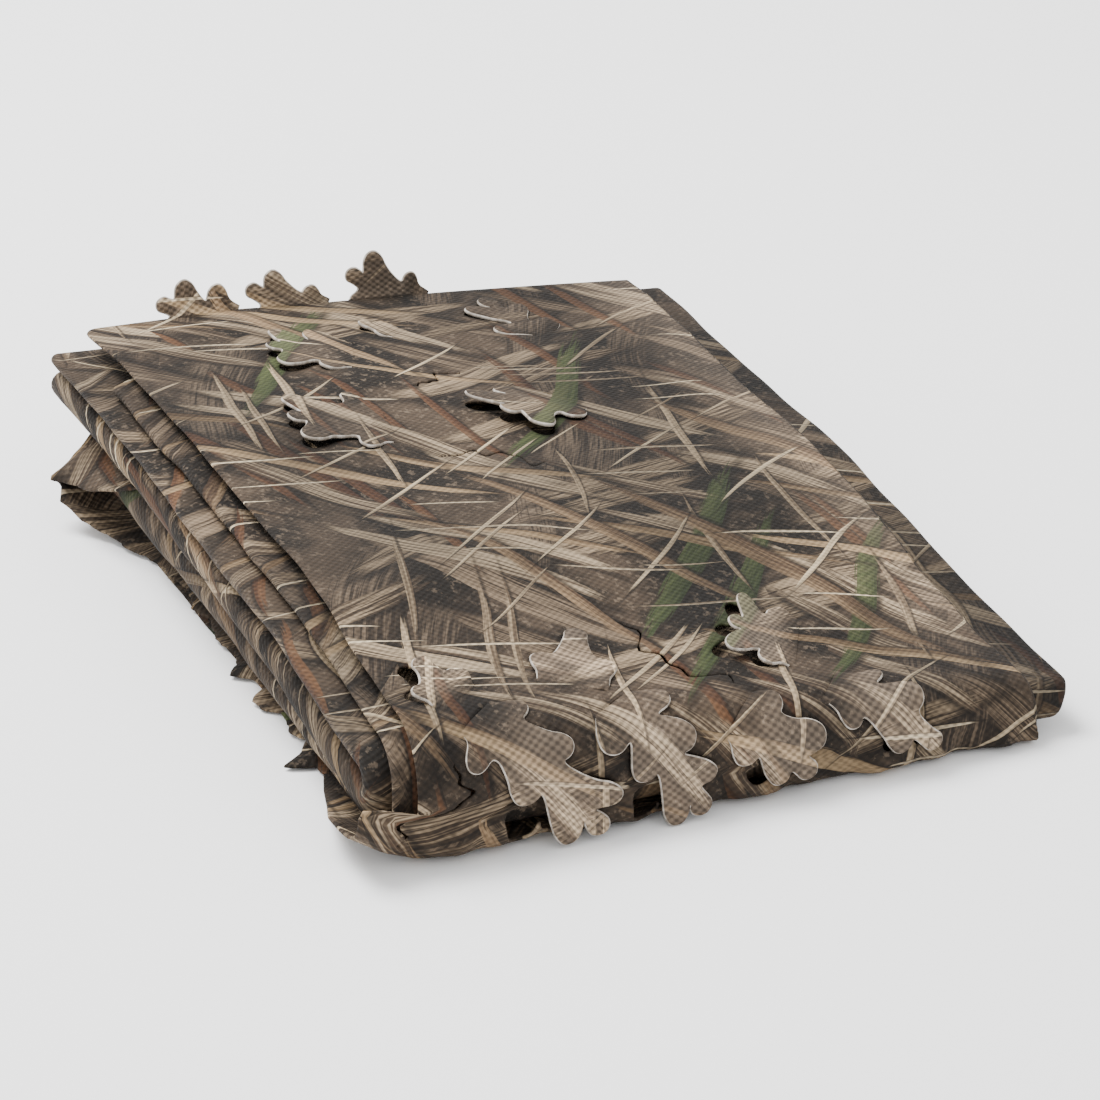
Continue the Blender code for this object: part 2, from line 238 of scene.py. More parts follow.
def reach(run, side):
    """Where a run ends on the left (-1) or right (1), for every row."""
    column = 5 if side < 0 else 6
    upper = LAYERS[run][column]
    lower = LAYERS[2 * RUNS - 1 - run][column]
    row_y = flat_y(0.0, BACK)
    wave = EDGE_WAVE * waver(row_y, run + side, EDGE_LENGTH)
    ahead = np.clip((SPREAD_FROM - row_y) / SPREAD_OVER, 0.0, 1.0)
    spread = SPREAD * ahead ** SPREAD_ROUND
    wide = upper + (lower - upper) * LOWER + wave * np.where(TURN, TURN_WAVE, 1.0)
    return wide + spread * (side > 0) * (run > 1)


def joined_run(run, side):
    """The run that this one joins at its left (-1) or right (1) end."""
    other = run + (side if run % 2 == 0 else -side)
    return other if 0 <= other < RUNS else None


def bulge(run, other, x):
    """Half the distance between two runs at x, for every row."""
    return np.abs(depth(run, x, BACK) - depth(other, x, BACK)) / 2.0


def run_end(run, side):
    """Where the flat part of a run ends: its reach less the round of its side fold."""
    x = reach(run, side)
    other = joined_run(run, side)
    return x if other is None else x - side * bulge(run, other, x)


def back_end(run, other, x):
    """Back end of a column: the first side fold starts short of the back."""
    if {run, other} <= {1, 2}:
        outward = np.clip((TOP_LEFT + RECESS_WIDTH - x) / RECESS_WIDTH, 0.0, 1.0)
        return BACK - RECESS * outward ** RECESS_ROUND
    return BACK


def run_column(run, share):
    """Column of a run at a share of its width from left to right."""
    left, right = run_end(run, -1), run_end(run, 1)
    x = left + (right - left) * share
    back = back_end(run, run, x)
    points = place(x, depth(run, x, back), back)
    return shape_lip(points, share) if run == 0 else points


def fold_column(run, side, share):
    """Column round a side fold, a half circle from one run to the next."""
    other = joined_run(run, side)
    end = run_end(run, side)
    half = bulge(run, other, end)
    x = end + side * half * math.sin(math.pi * share) * FOLD_DEPTH
    blend = (1.0 - math.cos(math.pi * share)) / 2.0
    back = back_end(run, other, x)
    deep = depth(run, x, back) * (1.0 - blend) + depth(other, x, back) * blend
    return place(x, deep, back)


def shape_lip(points, share):
    """Draw the outer layer's left end out below the turn and curl its tip up.

    The lower edge of the turn also waves forward, as a sine of the angle below it.
    """
    degrees = -np.degrees(ANGLES)
    around = np.interp(degrees, *LIP_AT)
    behind = np.clip(1.0 - SHARES * (BACK - FRONT) / LIP_FADE, 0.0, 1.0)
    strength = np.where(TURN, around, np.where(UNDER, behind, 0.0))
    points = points.copy()
    points[:, 0] -= LIP_REACH * strength * (1.0 - share) ** LIP_TAPER
    beyond = np.maximum(TOP_LEFT - points[:, 0], 0.0) / LIP_REACH
    points[:, 2] += LIP_LIFT * strength * beyond ** LIP_CURL
    down = np.clip(degrees / 90.0, 0.0, 1.0) ** HEM_ROUND
    low = np.where(TURN, np.sin(math.pi * down), 0.0)
    points[:, 1] -= HEM * low * (HEM_LEAN + waver(points[:, 0], 3, HEM_LENGTH))
    return points


def unit(vectors):
    """Rows of an array, each made a length of one."""
    return vectors / np.maximum(np.linalg.norm(vectors, axis=1), 1e-12)[:, None]


# ---- unrolled outer layer
LEFT_U, RIGHT_U = -126.5, 119.4
TABLE_STEP_U, TABLE_STEP_V, NORMAL_STEP = 2.5, 1.5, 3.0
UPRIGHT = 4.0        # distance in which what lies beyond the back edge bends upright
LEAN_BACK, SINK = 0.8, 0.35      # how far that bend leans back, how much lower it ends


class OuterLayer:
    """The outer layer as a table of points over u, v, read between its entries."""

    def __init__(self):
        wide = int(round((RIGHT_U - LEFT_U) / TABLE_STEP_U)) + 1
        columns = [run_column(0, k / (wide - 1)) for k in range(wide)]
        lengths = [self.measure(column) for column in columns]
        self.top_v = float(np.mean([length[0] for length in lengths]))
        self.under_v = float(np.mean([length[-1] for length in lengths]))
        count = int(round((self.top_v - self.under_v) / TABLE_STEP_V)) + 1
        self.step_u = (RIGHT_U - LEFT_U) / (wide - 1)
        self.step_v = (self.top_v - self.under_v) / (count - 1)
        places = np.linspace(self.under_v, self.top_v, count)
        self.rows_v = self.even(lengths[-1])
        self.table = np.stack([
            columns_of(*(np.interp(places, at[::-1], values[::-1]) for values in column.T))
            for column, at in zip(columns, map(self.even, lengths))
        ])

    @staticmethod
    def measure(column):
        """Distance along a column from the front edge, positive on top."""
        steps = np.hypot(*np.diff(column[:, 1:], axis=0).T)
        travelled = np.append(0.0, np.cumsum(steps))
        return travelled[EDGE_ROW] - travelled

    def even(self, length):
        """The same distance, stretched so that every column is as long as the mean."""
        top = length * self.top_v / length[0]
        return np.where(length > 0.0, top, length * self.under_v / length[-1])

    def point(self, u, v):
        """Point at u, v, read between the four nearest entries."""
        at_u = np.clip((u - LEFT_U) / self.step_u, 0.0, self.table.shape[0] - 1.001)
        at_v = np.clip((v - self.under_v) / self.step_v, 0.0, self.table.shape[1] - 1.001)
        i, j = at_u.astype(int), at_v.astype(int)
        a, b = (at_u - i)[:, None], (at_v - j)[:, None]
        near = self.table[i, j] * (1 - b) + self.table[i, j + 1] * b
        far = self.table[i + 1, j] * (1 - b) + self.table[i + 1, j + 1] * b
        return near * (1 - a) + far * a

    def outward(self, u, v):
        """Unit normal at u, v, from the points a little to each side."""
        across = self.point(u + NORMAL_STEP, v) - self.point(u - NORMAL_STEP, v)
        along = self.point(u, v + NORMAL_STEP) - self.point(u, v - NORMAL_STEP)
        return unit(np.cross(across, along))

    def lifted(self, u, v, rise):
        """Point at a height over the layer.

        Beyond the back edge it bends upright, and a leaf hangs straight down from v = 0.
        """
        over = np.maximum(v - self.top_v, 0.0)
        side = np.maximum(LEFT_U - u, 0.0) - np.maximum(u - RIGHT_U, 0.0)
        below = np.maximum(-v, 0.0) * (rise > 0.0)
        held = v + below
        points = self.point(u, held) + self.outward(u, held) * rise[:, None]
        points[:, 0] -= side
        lowest = np.where(rise > 0.0, LEAF_CLOTH / 2.0, -np.inf)
        points[:, 2] = np.maximum(points[:, 2] - below, lowest)
        bend = UPRIGHT * (1.0 - np.exp(-over / UPRIGHT))
        points[:, 1] += bend * LEAN_BACK
        points[:, 2] += over - bend * SINK
        return points


# ---- leaves
Leaf = namedtuple(
    # stem: half its width at the start; finger: half width of a lobe; middle, tip: how
    # high they lift; cup: how high its sides bend; slide: how far it moves in its hole
    "Leaf", "name u v heading length width stem finger lobes middle tip cup slide seed"
)
LEAVES = [Leaf(*row) for row in (
    ("front_left", -99, 31, 40, 66, 39, 11, 3.8, 3, 2.2, 4.5, 0.8, 2, 1),
    ("front_left_back", -102, 42, 207, 28, 38, 11, 3.6, 1, 3.5, 8, 0.6, -6, 2),
    ("front_middle", -46, 29, 32, 55, 38, 10, 3.8, 3, 2.2, 4.5, 0.8, 2, 3),
    ("front_middle_back", -56, 41, 156, 38, 42, 13, 3.6, 1, 3, 6.5, 0.6, -5.5, 4),
    ("front_centre", 1, 17, 44, 36, 38, 11, 3.6, 2, 2.4, 5, 0.8, 2, 5),
    ("front_right", 42, 25, 50, 46, 34, 10, 3.4, 2, 2.2, 5, 0.8, 2, 6),
    ("front_right_back", 43, 54, 240, 32, 52, 18, 3.8, 2, 2.6, 5.5, 0.6, -4, 7),
    ("rear_left", -44, 250, 262, 42, 56, 18, 3.8, 2, 2.6, 4.6, 0.4, 1.5, 8),
    ("rear_middle", -32, 320, 252, 36, 50, 16, 3.6, 2, 2.4, 4.2, 0.4, 1.5, 9),
    ("centre", 34, 262, 300, 36, 50, 16, 3.6, 2, 2.8, 6, 0.4, 1.5, 10),
    ("star", 58, 330, 200, 40, 38, 5, 4, 2, 1.4, 2.6, 0, 0.6, 11),
    ("wedge", -4, 342, 238, 16, 20, 6, 2.6, 1, 1.2, 3, 0, 0.5, 13),
    ("standing_left", -62, 375.5, 244, 36, 34, 10, 3, 2, 0, 0, 1, 0, 14),
    ("standing_middle", -22, 375.5, 242, 37, 34, 10, 3, 2, 0, 0, 1, 0, 15),
    ("standing_right", 22, 375.5, 236, 38, 34, 10, 3, 2, 0, 0, 1, 0, 16),
)]
Slit = namedtuple("Slit", "u v heading length sway seed")
SLITS = [Slit(*row) for row in (
    (-24, 80, 28, 58, 9, 3),
    (-112, 14, 4, 32, 6, 5),
    (-34, 224, 62, 44, 8, 7),
    (6, 296, 292, 30, 5, 9),
)]
SLIT_WIDTH, SLIT_STEPS, SLIT_TAPER, SLIT_WAVES = 2.3, 26, 0.4, 7.0
SHRINK = 0.02        # width of the cut round a leaf, as a share of its size
ROUNDING = 3         # times that the corners of an outline are cut
CORNER, CORNER_POINTS = 6.0, 7      # radius of the sheet's rounded corner
# paler leaves: partly washed print and partly painted light, which also lifts the standing
# leaves out of their shade
WASHED_AND_LIT_BELOW = 60.0  # leaves whose stem has a smaller v are paler, like the standing ones
WASHED_AND_LIT_LESS = 0.3    # how pale the others are
LOOSE = 3.0          # a leaf is wholly pale and thick past 1 / LOOSE of its length
LEAF_WAVE, LEAF_LENGTH = 0.22, 7.0  # waves of its surface, in heights of its middle
# lobes, each with its random change: place, degrees of lean, length, finger; and what
# a lobe at the tip has less of them, and the body's half width there
LOBE_SPOT, LOBE_LEAN, LOBE_FAR, LOBE_HALF = (0.35, 0.10), (74.0, 7.0), (0.92, 0.12), 0.22
LEAN_LESS, FAR_LESS, BODY_AT_TIP = 32.0, 0.40, 1.3
# corners ahead and aside, in bodies and fingers: of a lobe's foot, its tip, the leaf's
LOBE_FOOT = ((1.0, 1.6), (0.95, -1.5))
LOBE_TIP = ((-0.6, 1.1), (0.3, 0.1), (-0.4, -1.2))
LEAF_TIP = ((1.9, 1.1), (0.7, 1.2), (0.0, 0.0))


def round_corners(points):
    """Open line with each corner replaced by two points, a quarter of a side away."""
    for _ in range(ROUNDING):
        near = points[:-1] * 0.75 + points[1:] * 0.25
        far = points[:-1] * 0.25 + points[1:] * 0.75
        inner = columns_of(near, far).reshape(-1, 2)
        points = np.concatenate([points[:1], inner[1:-1], points[-1:]])
    return points


def leaf_side(leaf, uneven):
    """Corners of one side of a leaf as (distance, aside), from its stem to its tip.

    The body narrows from the stem to the tip. Each lobe leans forward from the midrib,
    further the nearer it is to the tip. uneven holds random values for every lobe.
    """
    finger = leaf.finger
    corners = [np.array([0.0, leaf.stem])]
    for k, (shift, tilt, swell, longer) in enumerate(uneven):
        spot = (k + LOBE_SPOT[0] + LOBE_SPOT[1] * shift) / (leaf.lobes + 0.5)
        lean = math.radians(LOBE_LEAN[0] - LEAN_LESS * spot + LOBE_LEAN[1] * tilt)
        half = finger * (1.0 + LOBE_HALF * swell)
        far = leaf.width / 2.0 * (LOBE_FAR[0] + LOBE_FAR[1] * longer)
        far = far * (1.0 - FAR_LESS * spot) / math.sin(lean)
        body = (leaf.stem + (BODY_AT_TIP * finger - leaf.stem) * spot) / math.sin(lean)
        along = np.array([math.cos(lean), math.sin(lean)])
        across = np.array([-math.sin(lean), math.cos(lean)])
        root = np.array([spot * leaf.length, 0.0])
        tip = root + along * far
        foot = [root + along * body * a + across * half * b for a, b in LOBE_FOOT]
        end = [tip + along * half * a + across * half * b for a, b in LOBE_TIP]
        corners += [foot[0], *end, foot[1]]
    corners += [np.array([leaf.length - a * finger, finger * b]) for a, b in LEAF_TIP]
    return np.array(corners)


def leaf_outline(leaf):
    """Closed outline of a leaf as (distance, aside), from the stem round the tip."""
    uneven = np.random.default_rng(leaf.seed).uniform(-1.0, 1.0, (2, leaf.lobes, 4))
    left, right = (leaf_side(leaf, values) for values in uneven)
    left[:, 1] *= -1.0
    return round_corners(np.concatenate([left, right[::-1][1:]]))


def slit_outline(slit):
    """Closed outline of a thin winding cut as (distance, aside), pointed at both ends."""
    out = np.linspace(0.0, slit.length, SLIT_STEPS)
    middle = slit.sway * waver(out, slit.seed, slit.length / SLIT_WAVES)
    half = SLIT_WIDTH / 2.0 * np.sin(math.pi * out / slit.length) ** SLIT_TAPER
    far = columns_of(out, middle + half)
    return np.concatenate([columns_of(out, middle - half), far[::-1][1:-1]])


def axes(cut):
    """Start, direction and sideways direction of a leaf or slit on the unrolled sheet."""
    turn = math.radians(cut.heading)
    ahead = np.array([math.sin(turn), -math.cos(turn)])
    aside = np.array([math.cos(turn), math.sin(turn)])
    return np.array([cut.u, cut.v], float), ahead, aside


def on_sheet(outline, cut):
    """The outline of a leaf or slit at its place on the unrolled sheet."""
    start, ahead, aside = axes(cut)
    return start + outline[:, :1] * ahead + outline[:, 1:] * aside


def inside(points, outline):
    """Which points lie in a closed outline, by counting the edges to their right."""
    x, y = points[:, :1], points[:, 1:]
    x0, y0 = outline[:, 0], outline[:, 1]
    x1, y1 = np.roll(x0, -1), np.roll(y0, -1)
    crosses = (y0 > y) != (y1 > y)
    slope = np.where(y1 == y0, 1.0, y1 - y0)
    at = (x1 - x0) * (y - y0) / slope + x0
    return (crosses & (x < at)).sum(axis=1) % 2 == 1


# ---- meshes
RIM = 0.28           # how far a rim is rounded outwards, in thicknesses


def face_normals(points, faces):
    """Vertex normals, the sum of the normals of the triangles round each one."""
    a, b, c = (points[faces[:, k]] for k in range(3))
    normal = np.cross(b - a, c - a)
    total = np.zeros_like(points)
    for k in range(3):
        np.add.at(total, faces[:, k], normal)
    return unit(total)


def grid_faces(index):
    """Two triangles for every cell of a grid of vertex numbers."""
    a, b = index[:-1, :-1].ravel(), index[:-1, 1:].ravel()
    c, d = index[1:, 1:].ravel(), index[1:, :-1].ravel()
    return np.concatenate([columns_of(a, c, b), columns_of(a, d, c)])


def border_edges(faces):
    """Directed edges that only one triangle has."""
    edges = np.concatenate([faces[:, [0, 1]], faces[:, [1, 2]], faces[:, [2, 0]]])
    size = faces.max() + 1
    return edges[~np.isin(edges @ (size, 1), edges @ (1, size))]


def thick_sheet(name, points, faces, uv, leaf, thickness, pale):
    """Closed mesh of a sheet: both faces, and a rounded rim along every border.

    points are in millimetres, uv in metres. leaf, kept as an attribute for the print's
    tone, which also carries painted light and painted shade, thickness and pale are values
    for every vertex. A rim between two pale ones is pale.
    """
    normal = face_normals(points, faces)
    half = (thickness / 2.0)[:, None]
    count = len(points)
    rim = border_edges(faces)
    ends = np.unique(rim)
    a, b = rim.T
    outward = np.zeros_like(points)
    side = unit(np.cross(points[b] - points[a], normal[a]))
    for end in (a, b):
        np.add.at(outward, end, side)
    middle = points[ends] + unit(outward[ends]) * (thickness[ends] * RIM)[:, None]
    slot = np.full(count, -1)
    slot[ends] = 2 * count + np.arange(len(ends))
    every = np.concatenate([points + normal * half, points - normal * half, middle])
    under = faces[:, ::-1] + count
    upper = columns_of(b, a, slot[a], slot[b])
    lower = columns_of(slot[b], slot[a], a + count, b + count)
    loops = np.concatenate([faces.ravel(), under.ravel(), upper.ravel(), lower.ravel()])
    sizes = np.repeat((3, 4), (2 * len(faces), 2 * len(rim)))
    starts = np.append(0, np.cumsum(sizes)[:-1])
    cut = np.tile(pale[a] & pale[b], 2)
    material = np.concatenate([np.zeros(2 * len(faces)), cut])
    source = np.concatenate([np.arange(count), np.arange(count), ends])
    mesh = bpy.data.meshes.new(name)
    mesh.vertices.add(len(every))
    mesh.loops.add(len(loops))
    mesh.polygons.add(len(sizes))
    for items, key, values, kind in (
        (mesh.vertices, "co", every * MM, np.float32),
        (mesh.loops, "vertex_index", loops, np.int32),
        (mesh.polygons, "loop_start", starts, np.int32),
        (mesh.polygons, "use_smooth", np.ones(len(sizes)), bool),
        (mesh.polygons, "material_index", material, np.int32),
    ):
        items.foreach_set(key, values.astype(kind).ravel())
    # a new UV layer reads the faces, so it is made once they are filled
    print_place = mesh.uv_layers.new(name="cloth").data
    print_place.foreach_set("uv", uv[source][loops].astype(np.float32).ravel())
    tone = mesh.attributes.new("leaf", "FLOAT", "POINT").data
    tone.foreach_set("value", leaf[source].astype(np.float32))
    mesh.update(calc_edges=True)
    mesh.validate()
    return new_object(name, mesh)


def new_object(name, data, place=Matrix()):
    """New object in the scene, put in its place by a matrix."""
    item = bpy.data.objects.new(name, data)
    item.matrix_world = place
    bpy.context.scene.collection.objects.link(item)
    return item


# ---- outer layer and leaves
GRID_STEP, UNDER_STEP, EDGE_STEP, UNDER_FROM = 2.6, 9.0, 3.0, -70.0
GRID_START, GRID_END, STAGGER = 0.7, 0.4, 0.3   # gaps beside the grid, its rows' shift
STANDING_U, STANDING_V = (-96.0, 46.0), (1.5, 34.0)
KEEP_OFF, END_GAP = 1.2, 1.0     # least distance from the grid to a cut and to an edge
TOUCH = 1e-3                     # points nearer than this are one


def sheet_grid(layer, outlines, slits):
    """Points of an even grid on the unrolled layer, clear of every cut."""
    fine_v = np.arange(UNDER_FROM, layer.top_v - END_GAP, GRID_STEP)
    coarse_v = np.arange(layer.under_v + UNDER_STEP, UNDER_FROM - END_GAP, UNDER_STEP)
    grids = []
    for places, step in ((fine_v, GRID_STEP), (coarse_v, UNDER_STEP)):
        across = np.arange(LEFT_U + step * GRID_START, RIGHT_U - step * GRID_END, step)
        u, v = np.meshgrid(across, places)
        u = u + (np.arange(len(places)) % 2)[:, None] * step * STAGGER
        grids.append(columns_of(u.ravel(), v.ravel()))
    u, v = np.meshgrid(np.arange(*STANDING_U, GRID_STEP), np.arange(*STANDING_V, GRID_STEP))
    beyond = columns_of(u.ravel(), layer.top_v + v.ravel())
    standing = np.any([inside(beyond, outline) for outline in outlines], axis=0)
    points = np.concatenate(grids + [beyond[standing]])
    for outline in outlines + slits:
        low, high = outline.min(axis=0) - KEEP_OFF, outline.max(axis=0) + KEEP_OFF
        near = np.flatnonzero(np.all((points > low) & (points < high), axis=1))
        gap = np.linalg.norm(points[near][:, None] - outline[None], axis=2).min(axis=1)
        points = np.delete(points, near[gap < KEEP_OFF], axis=0)
    return points


def sheet_border(layer):
    """Closed line round the unrolled layer. Its first part is the right end's rows."""
    seam = columns_of(RIGHT_U, layer.rows_v)
    seam[0, 1], seam[-1, 1] = layer.top_v, layer.under_v
    under_u = np.arange(LEFT_U + UNDER_STEP, RIGHT_U - END_GAP, UNDER_STEP)
    under = columns_of(under_u, layer.under_v)[::-1]
    left_v = np.arange(layer.under_v, layer.top_v - CORNER - END_GAP, EDGE_STEP)
    swing = np.linspace(math.pi, math.pi / 2.0, CORNER_POINTS)
    corner = np.array([LEFT_U + CORNER, layer.top_v - CORNER])
    corner = corner + CORNER * columns_of(np.cos(swing), np.sin(swing))
    back_u = np.arange(LEFT_U + CORNER + GRID_STEP, RIGHT_U - END_GAP, GRID_STEP)
    back = columns_of(back_u, layer.top_v)
    return np.concatenate([seam, under, columns_of(LEFT_U, left_v), corner, back])


def outer_sheet(layer):
    """The outer layer cut into triangles on the unrolled sheet.

    Gives its points and triangles, each triangle's leaf or -1, the leaves' outlines, and
    the vertices of the right end.
    """
    outlines = [on_sheet(leaf_outline(leaf), leaf) for leaf in LEAVES]
    slits = [on_sheet(slit_outline(slit), slit) for slit in SLITS]
    border = sheet_border(layer)
    grid = sheet_grid(layer, outlines, slits)
    edges, start = [], 0
    for line in [border] + outlines + slits:
        size = len(line)
        edges += [(start + k, start + (k + 1) % size) for k in range(size)]
        start += size
    flat = np.concatenate([border] + outlines + slits + [grid])
    found, _, faces, origin, _, _ = delaunay_2d_cdt(flat.tolist(), edges, [], 0, 1e-4)
    found, faces = np.array(found), np.array(faces)
    centre = found[faces].mean(axis=1)
    owner = np.full(len(faces), -1)
    for number, outline in enumerate(outlines):
        owner[inside(centre, outline)] = number
    keep = inside(centre, border) | (owner >= 0)
    for slit in slits:
        keep &= ~inside(centre, slit)
    given = {source: index for index, sources in enumerate(origin) for source in sources}
    seam = np.array([given[row] for row in range(ROWS)])
    return found, faces[keep], owner[keep], outlines, seam


def bend_leaf(leaf, flat):
    """A leaf's own vertices once it has curled out of its cut.

    Gives their places, their heights, and their share of the way from stem to tip.
    """
    stem, ahead, aside = axes(leaf)
    out = (flat - stem) @ ahead
    off = (flat - stem) @ aside
    share = np.clip(out / leaf.length, 0.0, 1.2)
    grip = np.clip(share * 4.0, 0.0, 1.0)
    moved = stem + np.outer(out * (1.0 - SHRINK) + leaf.slide * share, ahead)
    moved = moved + np.outer(off * (1.0 - SHRINK * grip), aside)
    middle, tip = leaf.middle, leaf.tip
    heights = (0.0, middle * 0.3, middle, tip, tip * 1.1)
    rise = np.interp(share, (0.0, 0.15, 0.55, 1.0, 1.2), heights)
    rise = rise + leaf.cup * (2.0 * off / leaf.width) ** 2 * grip
    wave = waver(out + off * 0.6, leaf.seed, LEAF_LENGTH)
    return moved, rise + LEAF_WAVE * middle * grip * wave, share


# how much paler the top is made along its right edge, and how dark the painted shade is
# on the layers that reach out past it, and from where and over what distance
EDGE_PALER, EDGE_PALER_U, EDGE_PALER_V = 0.55, (82.0, 30.0), (25.0, 45.0)
PAINTED_SHADE, PAINTED_SHADE_X = 0.8, (112.0, 8.0)


def net_cloth(layer):
    """The whole cloth: outer layer with cut leaves, and the runs folded inside it.

    Its tone, the attribute leaf, is above 0 on leaves, whose print is paler, partly as washed
    print and partly as painted light, and along the top's right edge, where it is made
    paler, and below 0 on the layers that reach out past that edge, as painted shade.
    """
    flat, faces, owner, outlines, seam = outer_sheet(layer)
    points = layer.lifted(flat[:, 0], flat[:, 1], np.zeros(len(flat)))
    points[seam] = run_column(0, 1.0)
    tone = EDGE_PALER * grow(flat[:, 0], *EDGE_PALER_U) * grow(flat[:, 1], *EDGE_PALER_V)
    parts = [(points, flat, np.full(len(flat), CLOTH), tone)]
    total = len(flat)
    new_faces = faces.copy()
    for number, (leaf, outline) in enumerate(zip(LEAVES, outlines)):
        mine = np.flatnonzero(owner == number)
        used = np.unique(faces[mine])
        stems = np.array([outline[0], outline[-1]])
        gap = np.linalg.norm(flat[used][:, None] - stems[None], axis=2).min(axis=1)
        free = used[gap > TOUCH]
        standing = leaf.name.startswith("standing")
        if standing:
            free = free[flat[free, 1] > layer.top_v + TOUCH]
        lookup = np.arange(len(flat))
        lookup[free] = total + np.arange(len(free))
        new_faces[mine] = lookup[faces[mine]]
        moved, rise, share = bend_leaf(leaf, flat[free])
        loose = np.clip(share * LOOSE, 0.0, 1.0)
        # paler print on leaves, partly washed print and partly painted light
        washed_and_lit = 1.0 if standing or leaf.v < WASHED_AND_LIT_BELOW else WASHED_AND_LIT_LESS
        points = layer.lifted(moved[:, 0], moved[:, 1], rise)
        thickness = CLOTH + (LEAF_CLOTH - CLOTH) * loose
        parts.append((points, flat[free], thickness, loose * washed_and_lit))
        total += len(free)
    points, places, inner_faces = inner_runs(total, seam)
    # painted shade on the layers that reach out past the top's right edge
    tone = -PAINTED_SHADE * grow(points[:, 0], *PAINTED_SHADE_X)
    parts.append((points, places, np.full(len(points), CLOTH), tone))
    points, places, thickness, tone = map(np.concatenate, zip(*parts))
    pale = np.zeros(len(points), bool)
    pale[len(flat):total] = True
    faces = np.concatenate([new_faces, inner_faces])
    used = np.unique(faces)
    lookup = np.zeros(len(points), int)
    lookup[used] = np.arange(len(used))
    return thick_sheet(
        "net_cloth", points[used], lookup[faces], places[used] * MM,
        tone[used], thickness[used], pale[used],
    )


RUN_COLUMNS, FOLD_COLUMNS = 20, 9
INNER_U = RIGHT_U + 2.0     # where the print of the inner runs starts


def inner_runs(first, seam):
    """The runs inside the outer layer and the side folds between them, as a grid.

    Its first column is the outer layer's right end, whose vertices it shares.
    """
    columns = []
    for run in range(RUNS):
        side = 1 if run % 2 == 0 else -1
        if run > 0:
            shares = np.linspace(0.0, 1.0, RUN_COLUMNS + 1)
            columns += [run_column(run, share) for share in shares[::side]]
        if run < RUNS - 1:
            shares = np.arange(1, FOLD_COLUMNS) / FOLD_COLUMNS
            columns += [fold_column(run, side, share) for share in shares]
    grid = np.stack(columns, axis=1)
    steps = np.linalg.norm(np.diff(grid, axis=1), axis=2)
    across = np.pad(np.cumsum(steps, axis=1), ((0, 0), (1, 0)))
    drops = np.linalg.norm(np.diff(grid, axis=0), axis=2)
    down = np.pad(np.cumsum(drops, axis=0), ((1, 0), (0, 0)))
    uv = np.stack([INNER_U + across, down[EDGE_ROW] - down], axis=2).reshape(-1, 2)
    index = first + np.arange(down.size).reshape(down.shape)
    faces = grid_faces(np.concatenate([seam[:, None], index], axis=1))
    return grid.reshape(-1, 3), uv, faces


# ---- ragged edges on the left
FLAP = (
    # y, x, z of its outer edge, z where it comes out of the bundle
    (166, -124, 38.5, 39), (158, -132, 35, 38.5), (151, -146, 25, 38),
    (147.5, -155.5, 20, 38), (144.5, -153, 20, 38), (138, -149, 20.5, 37.5),
    (128, -147, 23, 37), (116, -144, 27, 36.5), (104, -138, 31, 36),
    (94, -126, 34.5, 35.5),
)
SKIRT = (
    (162, -122, 12, 9.5), (154, -138, 15, 9), (148, -154, 21, 9),
    (144, -151, 18, 9), (139, -153, 13, 8.5), (133, -149, 8, 8.5),
    (124, -142, 4.5, 8), (108, -135, 2.5, 8), (88, -127.5, 1.5, 7.5),
    (76, -129.5, 2, 7.5), (62, -126, 1.5, 7), (48, -130.5, 2, 7),
    (34, -127, 1.5, 6.5), (16, -131.5, 2, 6.5), (4, -128.5, 1.5, 6.5),
    (-7, -131, 2, 6), (-14, -138, 2, 6), (-19, -130, 1.5, 6),
    (-30, -128, 1.5, 6), (-39, -136.5, 2.5, 6), (-45, -136, 1.5, 6),
    (-52, -129, 1.5, 5.5), (-66, -133, 2, 5.5), (-78, -129.5, 1.5, 5.5),
    (-88, -136, 2, 5), (-94, -146, 2, 5), (-98, -134, 1.5, 5),
    (-108, -131, 1.5, 5), (-118, -135.5, 1.5, 5), (-128, -131, 1.5, 5),
    (-140, -134, 1.5, 5),
)
STRIP_FROM, STRIP_STEP, STRIP_COLUMNS = -112.0, 1.5, 18      # from inside the bundle
STRIP_CROWD, STRIP_SAG, STRIP_LOWEST = 0.8, 1.6, LEAF_CLOTH / 2.0 + 0.1
# height and length of the fine teeth, the waves along a strip and those of its surface
TEETH, DRIFT, RIPPLE = (0.9, 2.6), (1.6, 9.0), (0.5, 8.0)


def strip(table, seed, start_u):
    """Points, triangles and flat places of a ragged strip, straight from edge to edge.

    Its outer edge runs through the table's points, with fine teeth added, and it sags
    between the edges as a power of the distance from the inner one.
    """
    rows = np.array(table)[::-1]
    y = np.arange(rows[0, 0], rows[-1, 0] + 0.1, STRIP_STEP)
    x, low, high = (np.interp(y, rows[:, 0], rows[:, k]) for k in (1, 2, 3))
    x = x + TEETH[0] * waver(y, seed, TEETH[1])
    share = np.linspace(0.0, 1.0, STRIP_COLUMNS + 1) ** STRIP_CROWD
    across = STRIP_FROM + (x[:, None] - STRIP_FROM) * share
    along = y[:, None] + DRIFT[0] * share * waver(y, seed + 2, DRIFT[1])[:, None]
    sagged = high[:, None] + (low - high)[:, None] * share ** STRIP_SAG
    sagged = sagged + RIPPLE[0] * share * waver(y[:, None] + across, seed + 1, RIPPLE[1])
    points = np.stack([across, along, np.maximum(sagged, STRIP_LOWEST)], axis=2)
    faces = grid_faces(np.arange(sagged.size).reshape(sagged.shape))
    flat = np.stack([start_u - across, np.broadcast_to(y[:, None], across.shape)], axis=2)
    return points.reshape(-1, 3), faces, flat.reshape(-1, 2)


